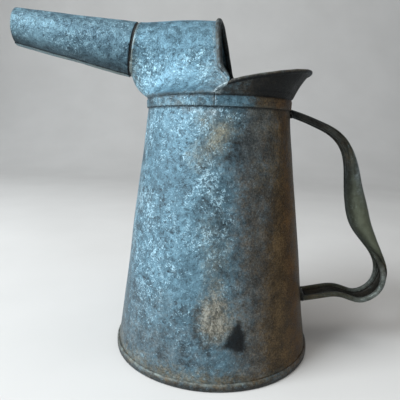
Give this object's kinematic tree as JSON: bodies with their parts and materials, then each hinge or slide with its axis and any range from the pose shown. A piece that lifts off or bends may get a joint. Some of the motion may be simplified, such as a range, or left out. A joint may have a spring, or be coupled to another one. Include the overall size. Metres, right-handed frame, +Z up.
{
  "type": "oil measure with pouring spout",
  "caption": "Tapered galvanised sheet-steel oil measure with a hooded top, conical push-on pouring spout, flared filling lip and rolled-edge strap handle.",
  "frame": {"origin": "centre of the foot ring, on the surface the measure stands on", "axes": "+Z up, +X towards the handle, the spout towards -X"},
  "size_m": [0.215, 0.115, 0.189],
  "materials": {
    "galvanised_wall": "weathered zinc, mottled blue-grey with pale oxide specks and brown stains",
    "galvanised_top": "weathered zinc, darker, pale specks on the hood",
    "spout_sheet": "weathered zinc, blue-grey",
    "handle_sheet": "weathered zinc, grey-green, worn bright on the grip",
    "solder": "dull pale solder",
    "steel_wire": "drawn wire"
  },
  "bodies": {
    "can": {"body_shell": "galvanised_wall", "base_pan": "galvanised_wall", "base_solder": "solder", "collar_solder": "solder", "spout_hood": "galvanised_top", "hood_edge_roll": "galvanised_top", "hood_rim_wire": "steel_wire", "filler_lip": "galvanised_top", "lip_edge_roll": "galvanised_top", "lip_rim_wire": "steel_wire", "handle_strap": "handle_sheet", "handle_edge_rolls": "handle_sheet", "handle_edge_wires": "steel_wire", "handle_upper_solder": "solder", "handle_lower_solder": "solder", "hood_lip_solder": "solder"},
    "nozzle": {"nozzle_sleeve": "spout_sheet"},
    "spout": {"spout_cone": "spout_sheet"}
  },
  "joints": [
    {"name": "spout_turn", "type": "hinge", "parent": "can", "child": "nozzle", "pos_m": [-0.04669, -0.00326, 0.1685], "axis": [-0.9839, -0.0688, 0.165], "continuous": true},
    {"name": "spout_pull", "type": "slide", "parent": "nozzle", "child": "spout", "axis": [-0.9839, -0.0688, 0.165], "range_m": [0, 0.03]}
  ]
}
